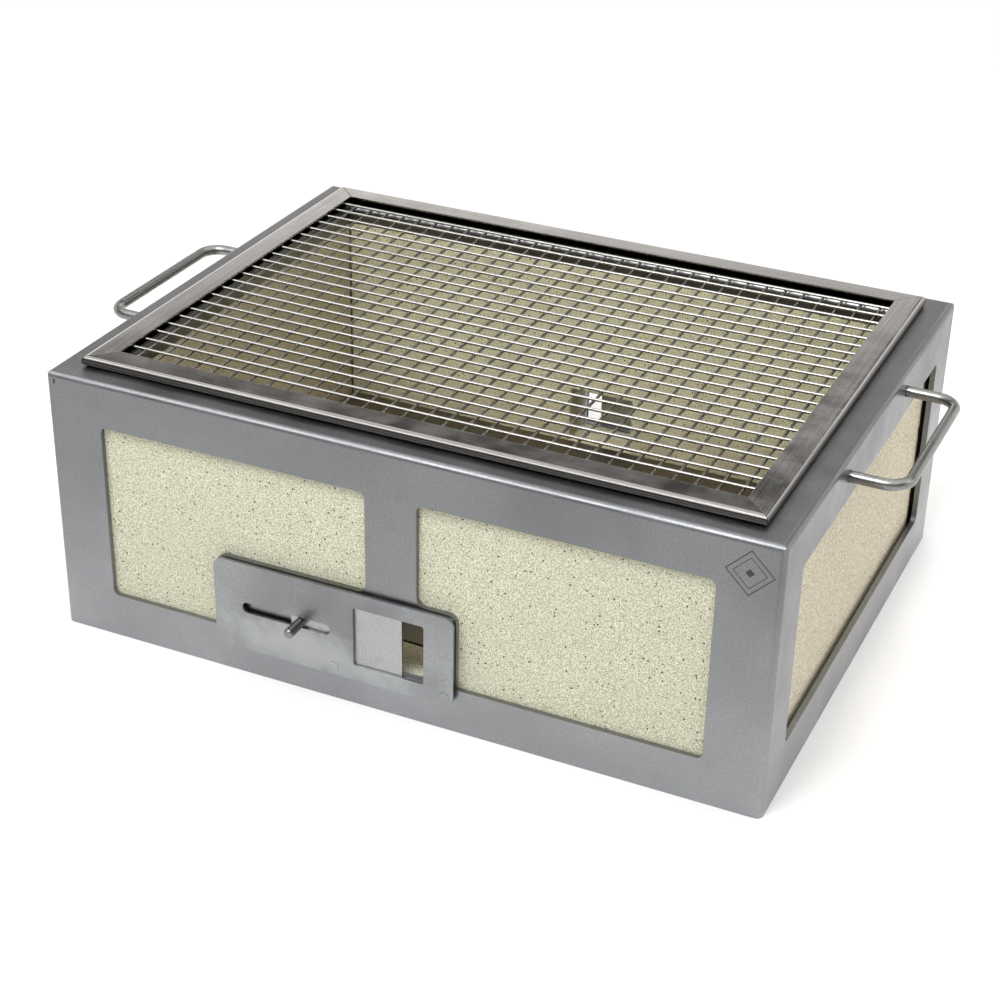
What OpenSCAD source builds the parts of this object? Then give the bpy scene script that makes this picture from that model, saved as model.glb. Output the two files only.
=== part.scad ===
// Table-top hibachi grill: a folded steel casing lined with refractory slabs, a loose floor plate,
// a sliding air damper at the front and at the rear, and a lift-off wire grill on the rim.
// Millimetres. +X is right, +Y is back, +Z is up. The origin is the middle of the base's underside.

/* [Casing] */
// Outside width of the casing, left to right
case_w = 400; // [370:5:450]
// Outside depth of the casing, front to back
case_d = 305; // [290:5:340]
// Outside height of the casing
case_h = 152; // [148:1:165]
// Thickness of the casing's sheet
sheet_t = 3; // [2:0.5:3]
// Outside radius of the casing's bends
bend_r = 3.5; // [3.5:0.5:5]
// Width of the top rim, from the outside in
rim_w = 28; // [28:1:32]
// Height of the rim's turned-down lip, measured from the top
lip_h = 11; // [6:1:14]

/* [Windows] */
// Height of the windows' lower edge
window_z = 25.5; // [24:0.5:30]
// Height of a window
window_h = 101; // [90:1:104]
// Width of the sheet left beside a front window
front_margin = 32; // [30:1:40]
// Width of the sheet left beside a side window
side_margin = 30; // [30:1:40]
// Width of the post between the two front windows
post_w = 28.5; // [20:0.5:36]
// Radius of the windows' corners
window_r = 3.5; // [2:0.5:5]

/* [Lining] */
// Thickness of the front and rear slabs
end_slab_t = 25; // [20:0.5:25]
// Thickness of the left and right slabs
side_slab_t = 22.5; // [18:0.5:22.5]
// Thickness of the floor slab
floor_slab_t = 22; // [18:0.5:22]
// Thickness of the base sheet
base_t = 2; // [1:0.5:2]
// Height of the base sheet's turned-up sides
base_side_h = 20; // [10:1:24]
// Thickness of the loose floor plate
floor_plate_t = 2; // [1:0.5:2]

/* [Air dampers] */
// Width of the air hole
vent_w = 40; // [30:1:40]
// Height of the air hole
vent_h = 34.5; // [28:0.5:34.5]
// Height of the air hole's lower edge
vent_z = 26; // [26:0.5:28]
// Thickness of the cover plate
cover_t = 1.5; // [1:0.25:2]
// Radius of the cover plate's corners
cover_r = 5; // [3:0.5:6]
// Gap behind the cover plate, in which the shutter slides
channel_t = 2; // [2:0.25:3]
// Thickness of the shutter
shutter_t = 1.5; // [1:0.25:1.5]
// Length of the shutter
shutter_w = 64; // [60:0.5:66]
// Length of the slot that the pull pin runs in
slot_w = 51.5; // [48:0.5:54]
// Diameter of the pull pin
pin_d = 5.4; // [4:0.1:5.4]
// How far the pull pin stands out of the cover plate
pin_reach = 13; // [8:0.5:16]
// Width of the air hole left open at the front, at rest
front_open = 13; // [0:0.5:30]
// Width of the air hole left open at the rear, at rest
rear_open = 9.5; // [0:0.5:30]

/* [Handles] */
// Diameter of the handle rod
rod_d = 6; // [5:0.5:7]
// Distance between the centres of a handle's two legs
handle_span = 105; // [90:5:120]
// Distance from the casing's side to the middle of the grip
handle_reach = 28; // [24:1:36]
// Height of the handles
handle_z = 140; // [134:1:142]
// Radius of the rod's bends, to the middle of the rod
handle_bend_r = 11; // [8:1:14]

/* [Grill] */
// Width of the grill frame
grill_w = 372; // [362:2:380]
// Depth of the grill frame
grill_d = 280; // [270:2:286]
// Width of a frame rail
rail_w = 14.5; // [12:0.5:18]
// Thickness of the strip that a rail is folded from
rail_t = 1.2; // [0.8:0.1:1.5]
// Diameter of the grill wires
wire_d = 1.6; // [1.2:0.1:2]
// Distance from one wire to the next
wire_pitch = 11; // [9:0.5:13]
// Number of wires that run left to right
long_wire_count = 23; // [15:1:23]
// Number of wires that run front to back
cross_wire_count = 31; // [20:1:31]

/* [Hidden] */
$fn = 64;

through = 1; // how far a cutting solid runs past what it cuts
steel = [0.53, 0.54, 0.55];
bright_steel = [0.66, 0.67, 0.67];
dark_steel = [0.24, 0.23, 0.2];
refractory = [0.82, 0.8, 0.72];

// Inside of the casing's walls, and the firebox inside the lining
inner_w = case_w - 2 * sheet_t;
inner_d = case_d - 2 * sheet_t;
inner_bend_r = 1;
mouth_w = case_w - 2 * rim_w;
mouth_d = case_d - 2 * rim_w;
side_gap = rim_w - sheet_t - side_slab_t;
end_gap = rim_w - sheet_t - end_slab_t;
slab_h = case_h - lip_h - base_t;
slab_joint = 0.4;
plate_gap = 1.5;

// Windows, drawn on a wall with x across and y up
window_w = (case_w - post_w) / 2 - front_margin;
side_window_w = case_d - 2 * side_margin;
post_fillet_r = 5;

// Notch where the top bend meets an upright one
relief_w = 0.8;
relief_h = 2.6;
relief_inset = 1.5;

// Damper, drawn on a wall with x across from the middle of the air hole and y up
cover_left = 101.5;
cover_right = 36.5;
cover_z = 17;
cover_h = 52;
vent_r = 1.5;
guide_h = 6;
guide_inset = 1.8;
guide_play = 0.4;
slot_h = pin_d + 0.8;
slot_right = -33.5;
slot_z = 43;
slot_end_slack = 0.01;
pin_inset = 6.25;
pin_chamfer = 0.7;
plug_d = 6;
plug_x = 31.5;
plug_gap = 0.05;
plug_proud = 0.15;
shutter_z = cover_z + guide_inset + guide_h + guide_play;
shutter_h = cover_h - 2 * (guide_inset + guide_h + guide_play);

// Handles and their holes
leg_y = handle_span / 2;
leg_hole_d = rod_d + 0.6;
leg_end = 1.5;
weld_d = rod_d + 4;
weld_gap = 0.05;

// Grill frame and wires
wire_play = 0.05;
rail_h = 2 * rail_t + 2 * wire_d + 4 * wire_play;
mitre_gap = 0.15;
wire_end = 3.5;
mesh_x = 0.5;
mesh_y = -3;
cross_wire_z = case_h + rail_t + wire_play + wire_d / 2;
long_wire_z = cross_wire_z + wire_d + wire_play;

// ---- Shared shapes ----

// Rectangle with round corners, centred
module round_rect(w, h, r) {
    square([w - 2 * r, h], center = true);
    square([w, h - 2 * r], center = true);
    for (sx = [-1, 1], sy = [-1, 1])
        translate([sx * (w / 2 - r), sy * (h / 2 - r)]) circle(r);
}

// Rectangle that stands on the x axis, with its two upper corners round
module arch(w, h, r) {
    translate([-w / 2, 0]) square([w, h - r]);
    translate([r - w / 2, 0]) square([w - 2 * r, h]);
    for (s = [-1, 1]) translate([s * (w / 2 - r), h - r]) circle(r);
}

// Box whose upright edges and top edges are all bent to one radius
module bent_box(w, d, h, r) {
    intersection() {
        linear_extrude(h) round_rect(w, d, r);
        rotate([90, 0, 0]) linear_extrude(d + 2 * through, center = true) arch(w, h, r);
        rotate([90, 0, 90]) linear_extrude(w + 2 * through, center = true) arch(d, h, r);
    }
}

// Turns a drawing to stand on the front wall: x across, y up, z out of the wall
module on_front() {
    translate([0, -case_d / 2, 0]) rotate([90, 0, 0]) children();
}

// The same on the rear wall, as seen from behind
module on_rear() {
    rotate([0, 0, 180]) on_front() children();
}

// The same on the right wall
module on_right() {
    translate([case_w / 2, 0, 0]) rotate([90, 0, 90]) children();
}

// ---- Casing ----

module cover_outline() {
    translate([(cover_right - cover_left) / 2, cover_z + cover_h / 2])
        round_rect(cover_left + cover_right, cover_h, cover_r);
}

module vent_outline() {
    translate([0, vent_z + vent_h / 2]) round_rect(vent_w, vent_h, vent_r);
}

// Sheet left in the corner between the post and the top of the damper's backing
module post_fillet() {
    translate([post_w / 2 - through, cover_z + cover_h - through]) difference() {
        square(post_fillet_r + through);
        translate([post_fillet_r + through, post_fillet_r + through]) circle(post_fillet_r);
    }
}

// The two front windows, with the damper's backing left standing in them
module front_windows() {
    difference() {
        for (s = [-1, 1])
            translate([s * (post_w + window_w) / 2, window_z + window_h / 2])
                round_rect(window_w, window_h, window_r);
        cover_outline();
        for (s = [0, 1]) mirror([s, 0]) post_fillet();
    }
}

// What is cut out of the front wall, and of the rear wall
module wall_cuts() {
    translate([0, 0, -sheet_t - through]) linear_extrude(sheet_t + 2 * through) {
        front_windows();
        vent_outline();
        translate([bend_r + relief_inset - case_w / 2, case_h - bend_r - relief_h])
            square([relief_w, relief_h]);
    }
}

module side_cuts() {
    translate([0, 0, -sheet_t - through]) linear_extrude(sheet_t + 2 * through) {
        translate([0, window_z + window_h / 2]) round_rect(side_window_w, window_h, window_r);
        for (s = [-1, 1]) translate([s * leg_y, handle_z]) circle(d = leg_hole_d);
    }
}

// Waste outside a bend, along one long edge of the mouth
module bend_waste(length) {
    rotate([90, 0, 0]) linear_extrude(length, center = true) difference() {
        square(bend_r + through);
        circle(bend_r);
    }
}

// The mouth of the firebox, its top edges bent down into the lip
module mouth() {
    translate([-mouth_w / 2, -mouth_d / 2, case_h - lip_h - through])
        cube([mouth_w, mouth_d, lip_h + 2 * through]);
    for (s = [0, 180]) rotate([0, 0, s]) {
        translate([-mouth_w / 2 - bend_r, 0, case_h - bend_r]) bend_waste(mouth_d);
        rotate([0, 0, 90])
            translate([-mouth_d / 2 - bend_r, 0, case_h - bend_r]) bend_waste(mouth_w);
    }
}

// Solid ring that is left under the rim as the lip
module lip() {
    translate([-mouth_w / 2 - sheet_t, -mouth_d / 2 - sheet_t, case_h - lip_h])
        cube([mouth_w + 2 * sheet_t, mouth_d + 2 * sheet_t, lip_h - sheet_t]);
}

module casing() {
    color(steel) difference() {
        bent_box(case_w, case_d, case_h, bend_r);
        difference() {
            translate([0, 0, -through])
                bent_box(inner_w, inner_d, case_h - sheet_t + through, inner_bend_r);
            lip();
        }
        mouth();
        on_front() wall_cuts();
        on_rear() wall_cuts();
        on_right() side_cuts();
        rotate([0, 0, 180]) on_right() side_cuts();
    }
}

// Base sheet between the walls, its left and right sides turned up beside the slabs
module base_tray() {
    color(steel) difference() {
        linear_extrude(base_side_h) round_rect(inner_w, inner_d, inner_bend_r);
        translate([base_t - inner_w / 2, -inner_d / 2 - through, base_t])
            cube([inner_w - 2 * base_t, inner_d + 2 * through, base_side_h]);
    }
}

// ---- Lining ----

module floor_slab() {
    color(refractory) translate([slab_joint - mouth_w / 2, slab_joint - mouth_d / 2, base_t])
        cube([mouth_w - 2 * slab_joint, mouth_d - 2 * slab_joint, floor_slab_t]);
}

// Slab behind the front wall, with the air tunnel through it
module end_slab() {
    color(refractory) difference() {
        translate([side_gap - inner_w / 2, end_gap - inner_d / 2, base_t])
            cube([inner_w - 2 * side_gap, end_slab_t, slab_h]);
        translate([-vent_w / 2, -case_d / 2, vent_z]) cube([vent_w, rim_w + through, vent_h]);
    }
}

// Slab behind the right wall, between the two end slabs
module side_slab() {
    color(refractory) translate([mouth_w / 2, slab_joint - mouth_d / 2, base_t])
        cube([side_slab_t, mouth_d - 2 * slab_joint, slab_h]);
}

module floor_plate() {
    color(dark_steel) translate([plate_gap - mouth_w / 2, plate_gap - mouth_d / 2, base_t + floor_slab_t])
        cube([mouth_w - 2 * plate_gap, mouth_d - 2 * plate_gap, floor_plate_t]);
}

// ---- Handles, drawn on the right ----

// Quarter bend at the end of the grip
module rod_bend() {
    rotate_extrude(angle = 90) translate([handle_bend_r, 0]) circle(d = rod_d);
}

module handle() {
    leg = handle_reach - handle_bend_r;
    color(bright_steel) translate([case_w / 2, 0, handle_z]) {
        for (s = [0, 1]) mirror([0, s, 0]) {
            translate([-sheet_t - leg_end, leg_y, 0])
                rotate([0, 90, 0]) cylinder(h = sheet_t + leg_end + leg, d = rod_d);
            translate([leg, leg_y - handle_bend_r, 0]) rod_bend();
        }
        translate([handle_reach, 0, 0])
            rotate([90, 0, 0]) cylinder(h = handle_span - 2 * handle_bend_r, d = rod_d, center = true);
    }
}

// Weld rings on the inside of the wall, where the legs come through
module handle_welds() {
    color(steel) for (s = [-1, 1])
        translate([inner_w / 2 - leg_end, s * leg_y, handle_z]) rotate([0, 90, 0]) difference() {
            cylinder(h = leg_end, d = weld_d);
            translate([0, 0, -through]) cylinder(h = leg_end + 2 * through, d = rod_d + 2 * weld_gap);
        }
}

// ---- Air damper, drawn on the wall ----

module slot_outline() {
    translate([slot_right - slot_w / 2, slot_z]) round_rect(slot_w, slot_h, slot_h / 2 - slot_end_slack);
}

module plug_centres() {
    for (s = [-1, 1]) translate([s * plug_x, cover_z + guide_inset + guide_h / 2]) children();
}

module cover_plate() {
    color(bright_steel) translate([0, 0, channel_t]) linear_extrude(cover_t) difference() {
        cover_outline();
        vent_outline();
        slot_outline();
        plug_centres() circle(d = plug_d);
    }
}

// Strip that holds the cover plate off the wall; z is its lower edge
module guide(z) {
    color(steel) translate([guide_inset - cover_left, z, 0])
        cube([cover_left + cover_right - 2 * guide_inset, guide_h, channel_t]);
}

module lower_guide() {
    guide(cover_z + guide_inset);
}

module upper_guide() {
    guide(cover_z + cover_h - guide_inset - guide_h);
}

// Weld metal in the cover plate's holes, down to the lower guide
module plug_welds() {
    color(bright_steel) translate([0, 0, channel_t]) plug_centres()
        cylinder(h = cover_t + plug_proud, d = plug_d - 2 * plug_gap);
}

// Left edge of the shutter when it leaves the given width of the air hole open
function shutter_x(open) = vent_w / 2 - open - shutter_w;

module shutter(open) {
    color(bright_steel) translate([shutter_x(open), shutter_z, (channel_t - shutter_t) / 2])
        cube([shutter_w, shutter_h, shutter_t]);
}

// Pin welded to the shutter's face, out through the slot in the cover plate
module pull_pin(open) {
    foot = (channel_t + shutter_t) / 2;
    tip = channel_t + cover_t + pin_reach;
    r = pin_d / 2;
    color(bright_steel) translate([shutter_x(open) + pin_inset, slot_z, 0]) rotate_extrude()
        polygon([[0, foot], [r, foot], [r, tip - pin_chamfer], [r - pin_chamfer, tip], [0, tip]]);
}

// ---- Grill ----

// Section of a rail: a strip folded over the wires, its round fold at x = 0
module rail_section() {
    r = rail_h / 2;
    difference() {
        union() {
            translate([r, r]) circle(r);
            translate([r, 0]) square([rail_w - r, rail_h]);
        }
        translate([r, r]) circle(r - rail_t);
        translate([r, rail_t]) square([rail_w, rail_h - 2 * rail_t]);
    }
}

// Rail along the front edge of a frame of width w and depth d, mitred at both ends
module rail(w, d) {
    color(bright_steel) intersection() {
        translate([-w / 2, -d / 2, case_h])
            rotate([90, 0, 90]) linear_extrude(w) rail_section();
        translate([0, -d / 2, case_h - through]) linear_extrude(rail_h + 2 * through)
            polygon([
                [mitre_gap - w / 2, 0], [w / 2 - mitre_gap, 0],
                [w / 2 - mitre_gap - rail_w, rail_w], [mitre_gap + rail_w - w / 2, rail_w]
            ]);
    }
}

// Row of straight wires side by side along y, each of the given length along x
module wire_row(length, count) {
    for (i = [0:count - 1])
        translate([-length / 2, (i - (count - 1) / 2) * wire_pitch, 0])
            rotate([0, 90, 0]) cylinder(h = length, d = wire_d, $fn = 24);
}

module long_wires() {
    color(bright_steel) translate([0, mesh_y, long_wire_z])
        wire_row(grill_w - 2 * wire_end, long_wire_count);
}

module cross_wires() {
    color(bright_steel) translate([mesh_x, 0, cross_wire_z]) rotate([0, 0, 90])
        wire_row(grill_d - 2 * wire_end, cross_wire_count);
}

// ---- Assembly ----

casing();
base_tray();
floor_slab();
end_slab();  // front_slab
rotate([0, 0, 180]) end_slab();  // rear_slab
rotate([0, 0, 180]) side_slab();  // left_slab
side_slab();  // right_slab
floor_plate();
rotate([0, 0, 180]) handle();  // left_handle
handle();  // right_handle
rotate([0, 0, 180]) handle_welds();  // left_handle_welds
handle_welds();  // right_handle_welds
on_front() cover_plate();  // front_cover_plate
on_front() upper_guide();  // front_upper_guide
on_front() lower_guide();  // front_lower_guide
on_front() plug_welds();  // front_plug_welds
on_front() shutter(front_open);  // front_shutter
on_front() pull_pin(front_open);  // front_pull_pin
on_rear() cover_plate();  // rear_cover_plate
on_rear() upper_guide();  // rear_upper_guide
on_rear() lower_guide();  // rear_lower_guide
on_rear() plug_welds();  // rear_plug_welds
on_rear() shutter(rear_open);  // rear_shutter
on_rear() pull_pin(rear_open);  // rear_pull_pin
rail(grill_w, grill_d);  // grill_front_rail
rotate([0, 0, 180]) rail(grill_w, grill_d);  // grill_rear_rail
rotate([0, 0, -90]) rail(grill_d, grill_w);  // grill_left_rail
rotate([0, 0, 90]) rail(grill_d, grill_w);  // grill_right_rail
long_wires();
cross_wires();
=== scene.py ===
"""Looks of a table-top hibachi grill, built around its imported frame.

Everything is in metres: +X right, +Y back, +Z up, and the origin in the middle of the base's underside.
"""

from __future__ import annotations

import logging
import math
from dataclasses import dataclass, replace
from enum import Enum

import bmesh
import bpy
from mathutils import Matrix, Vector, noise

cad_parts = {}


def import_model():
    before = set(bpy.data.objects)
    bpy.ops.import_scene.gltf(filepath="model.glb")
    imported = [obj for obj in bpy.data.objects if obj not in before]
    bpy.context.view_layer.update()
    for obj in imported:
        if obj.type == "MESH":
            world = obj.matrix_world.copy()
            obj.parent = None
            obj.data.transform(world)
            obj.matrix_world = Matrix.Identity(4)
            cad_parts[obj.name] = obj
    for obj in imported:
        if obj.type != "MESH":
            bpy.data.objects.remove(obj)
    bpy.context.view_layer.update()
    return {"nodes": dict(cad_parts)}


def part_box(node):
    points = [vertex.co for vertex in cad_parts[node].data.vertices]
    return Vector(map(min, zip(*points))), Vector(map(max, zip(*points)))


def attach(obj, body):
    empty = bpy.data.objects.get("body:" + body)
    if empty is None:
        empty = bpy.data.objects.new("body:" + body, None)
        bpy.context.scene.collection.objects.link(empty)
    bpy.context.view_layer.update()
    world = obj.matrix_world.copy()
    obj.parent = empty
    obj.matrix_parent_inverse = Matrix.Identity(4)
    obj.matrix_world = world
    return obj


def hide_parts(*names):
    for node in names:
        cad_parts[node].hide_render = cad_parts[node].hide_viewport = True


LOG = logging.getLogger("hibachi")
MM = 0.001
JOIN = 0.002 * MM
SENSOR = 36.0

BMesh = bmesh.types.BMesh
Material = bpy.types.Material
Object = bpy.types.Object
Socket = bpy.types.NodeSocket
Triple = tuple[float, float, float]


class Axis(Enum):
    """Axis of a coordinate, or of the streaks on brushed or drawn steel."""

    ALONG_X = 0
    ALONG_Y = 1
    ALONG_Z = 2


class Side(Enum):
    """Which wall of the grill a piece belongs to, as the direction in which the wall faces."""

    FRONT = "-Y"
    REAR = "+Y"


class Hand(Enum):
    """Which end a handle is at, as the sign of its x."""

    LEFT = -1.0
    RIGHT = 1.0


# ---------------------------------------------------------------- shading tools


class Shading:
    """Shader tree of a material or of the surroundings, with helpers that add its nodes."""

    def __init__(self, tree: bpy.types.NodeTree, coords: str) -> None:
        """Takes over a tree.

        Args:
            tree: The tree.
            coords: Name of the texture coordinates that its patterns read.
        """
        self.nodes, self.links = tree.nodes, tree.links
        self.coords = self.nodes.new("ShaderNodeTexCoord").outputs[coords]

    def axis(self, axis: Axis) -> Socket:
        """One coordinate, in metres on an object."""
        split = self.nodes.new("ShaderNodeSeparateXYZ")
        self.links.new(self.coords, split.inputs["Vector"])
        return split.outputs[axis.value]

    def span(
        self,
        value: Socket,
        low: float,
        high: float,
        to_low: float = 0.0,
        to_high: float = 1.0,
        shape: str = "SMOOTHSTEP",
    ) -> Socket:
        """Maps a value from one span to another and holds it there.

        Args:
            value: The value to map.
            low: Where the new span begins.
            high: Where it ends.
            to_low: Result at and before low.
            to_high: Result at and after high.
            shape: Blender's name of the way between them.

        Returns:
            The mapped value.
        """
        ranged = self.nodes.new("ShaderNodeMapRange")
        ranged.interpolation_type = shape
        self.links.new(value, ranged.inputs["Value"])
        swapped = low > high
        ranged.inputs["From Min"].default_value = high if swapped else low
        ranged.inputs["From Max"].default_value = low if swapped else high
        ranged.inputs["To Min"].default_value = to_high if swapped else to_low
        ranged.inputs["To Max"].default_value = to_low if swapped else to_high
        return ranged.outputs["Result"]

    def calc(
        self,
        operation: str,
        a: Socket | float,
        b: Socket | float = 0.0,
        c: Socket | float | None = None,
    ) -> Socket:
        """A Math node.

        Args:
            operation: Blender's name of the operation.
            a: First value, a socket or a number.
            b: Second value, a socket or a number.
            c: Third value for operations that take one.

        Returns:
            The result.
        """
        math_node = self.nodes.new("ShaderNodeMath")
        math_node.operation = operation
        for index, value in enumerate((a, b, c)):
            if isinstance(value, Socket):
                self.links.new(value, math_node.inputs[index])
            elif value is not None:
                math_node.inputs[index].default_value = value
        return math_node.outputs[0]

    def blend(
        self,
        share: Socket | float,
        under: Socket | Triple,
        over: Socket | Triple,
        mode: str = "MIX",
    ) -> Socket:
        """Mixes two colours.

        Args:
            share: How much of the upper colour shows, a socket or a number.
            under: Lower colour, a socket or red, green and blue.
            over: Upper colour, a socket or red, green and blue.
            mode: Blender's name of the blend.

        Returns:
            The mixed colour.
        """
        mix = self.nodes.new("ShaderNodeMix")
        mix.data_type = "RGBA"
        mix.blend_type = mode
        for key, value in ((0, share), (6, under), (7, over)):
            if isinstance(value, Socket):
                self.links.new(value, mix.inputs[key])
            elif key == 0:
                mix.inputs[key].default_value = value
            else:
                mix.inputs[key].default_value = (*value, 1.0)
        return mix.outputs[2]


class Paint(Shading):
    """One material in the making: a Principled shader and the patterns that feed it."""

    def __init__(self, name: str, metallic: float, roughness: float) -> None:
        """Starts a material.

        Args:
            name: The material's name.
            metallic: The shader's metallic value.
            roughness: The shader's roughness where no pattern drives it.
        """
        self.material = bpy.data.materials.new(name)
        self.material.use_nodes = True
        super().__init__(self.material.node_tree, "Object")
        self.shader = self.nodes["Principled BSDF"]
        self.shader.inputs["Metallic"].default_value = metallic
        self.shader.inputs["Roughness"].default_value = roughness
        self.normal: Socket | None = None

    def stretched(self, scale: Triple) -> Socket:
        """Object coordinates scaled on each axis.

        Args:
            scale: Factor on x, y and z.

        Returns:
            The scaled coordinates.
        """
        mapping = self.nodes.new("ShaderNodeMapping")
        mapping.inputs["Scale"].default_value = scale
        self.links.new(self.coords, mapping.inputs["Vector"])
        return mapping.outputs["Vector"]

    def noise(
        self,
        scale: float,
        detail: float = 2.0,
        rough: float = 0.5,
        at: Socket | None = None,
    ) -> Socket:
        """Noise from 0 to 1.

        Args:
            scale: Features in a metre.
            detail: Octaves.
            rough: How strong the finer octaves are.
            at: Coordinates, or None for Object coordinates.

        Returns:
            The noise value.
        """
        tex = self.nodes.new("ShaderNodeTexNoise")
        tex.inputs["Scale"].default_value = scale
        tex.inputs["Detail"].default_value = detail
        tex.inputs["Roughness"].default_value = rough
        self.links.new(at or self.coords, tex.inputs["Vector"])
        return tex.outputs["Fac"]

    def grains(self, scale: float) -> tuple[Socket, Socket]:
        """Voronoi cells.

        Args:
            scale: Cells in a metre.

        Returns:
            The distance to the nearest grain's middle, and a random value of that grain.
        """
        tex = self.nodes.new("ShaderNodeTexVoronoi")
        tex.inputs["Scale"].default_value = scale
        self.links.new(self.coords, tex.inputs["Vector"])
        split = self.nodes.new("ShaderNodeSeparateColor")
        self.links.new(tex.outputs["Color"], split.inputs["Color"])
        return tex.outputs["Distance"], split.outputs["Red"]

    def rise(self, height: Socket, depth: float, strength: float = 1.0) -> None:
        """Adds relief to the surface.

        Args:
            height: Height from 0 to 1.
            depth: How far 1 stands above 0, in metres.
            strength: How much of the relief shows.
        """
        bump = self.nodes.new("ShaderNodeBump")
        bump.inputs["Strength"].default_value = strength
        bump.inputs["Distance"].default_value = depth
        self.links.new(height, bump.inputs["Height"])
        if self.normal is not None:
            self.links.new(self.normal, bump.inputs["Normal"])
        self.normal = bump.outputs["Normal"]

    def done(self, color: Socket, roughness: Socket | None = None) -> Material:
        """Joins the patterns to the shader.

        Args:
            color: The base colour.
            roughness: The roughness, or None to keep the fixed one.

        Returns:
            The finished material.
        """
        self.links.new(color, self.shader.inputs["Base Color"])
        if roughness is not None:
            self.links.new(roughness, self.shader.inputs["Roughness"])
        if self.normal is not None:
            self.links.new(self.normal, self.shader.inputs["Normal"])
        return self.material


# ---------------------------------------------------------------- finishes


def scaled(tone: Triple, factor: float) -> Triple:
    """The tone made lighter or darker."""
    return tuple(c * factor for c in tone)


@dataclass(frozen=True)
class Pattern:
    """Noise that turns from one value into another between two of its levels."""

    scale: float
    detail: float
    rough: float
    low: float
    high: float
    least: float = 0.0
    most: float = 1.0
    stretch: Triple | None = None

    def on(self, paint: Paint) -> Socket:
        """The pattern's value on a material in the making."""
        at = None if self.stretch is None else paint.stretched(self.stretch)
        level = paint.noise(self.scale, self.detail, self.rough, at)
        return paint.span(level, self.low, self.high, self.least, self.most)


@dataclass(frozen=True)
class Cloud:
    """Uneven cloud of another tone on a wall that faces front or back."""

    x: float
    z: float
    length: float
    height: float
    share: float
    tone: Triple

    def share_of(self, paint: Paint) -> Socket:
        """Share of the cloud's tone, most in its middle.

        Args:
            paint: The material in the making.

        Returns:
            The share.
        """
        squares = []
        for axis, middle, size in (
            (Axis.ALONG_X, self.x, self.length),
            (Axis.ALONG_Z, self.z, self.height),
        ):
            off = paint.calc("DIVIDE", paint.calc("SUBTRACT", paint.axis(axis), middle), size)
            squares.append(paint.calc("MULTIPLY", off, off))
        wander = paint.calc("MULTIPLY_ADD", paint.noise(70, 4, 0.6), 1.25, -0.625)
        reach = paint.calc("ADD", paint.calc("SQRT", paint.calc("ADD", *squares)), wander)
        return paint.span(reach, 1.0, 0.17, 0.0, self.share)


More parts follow.
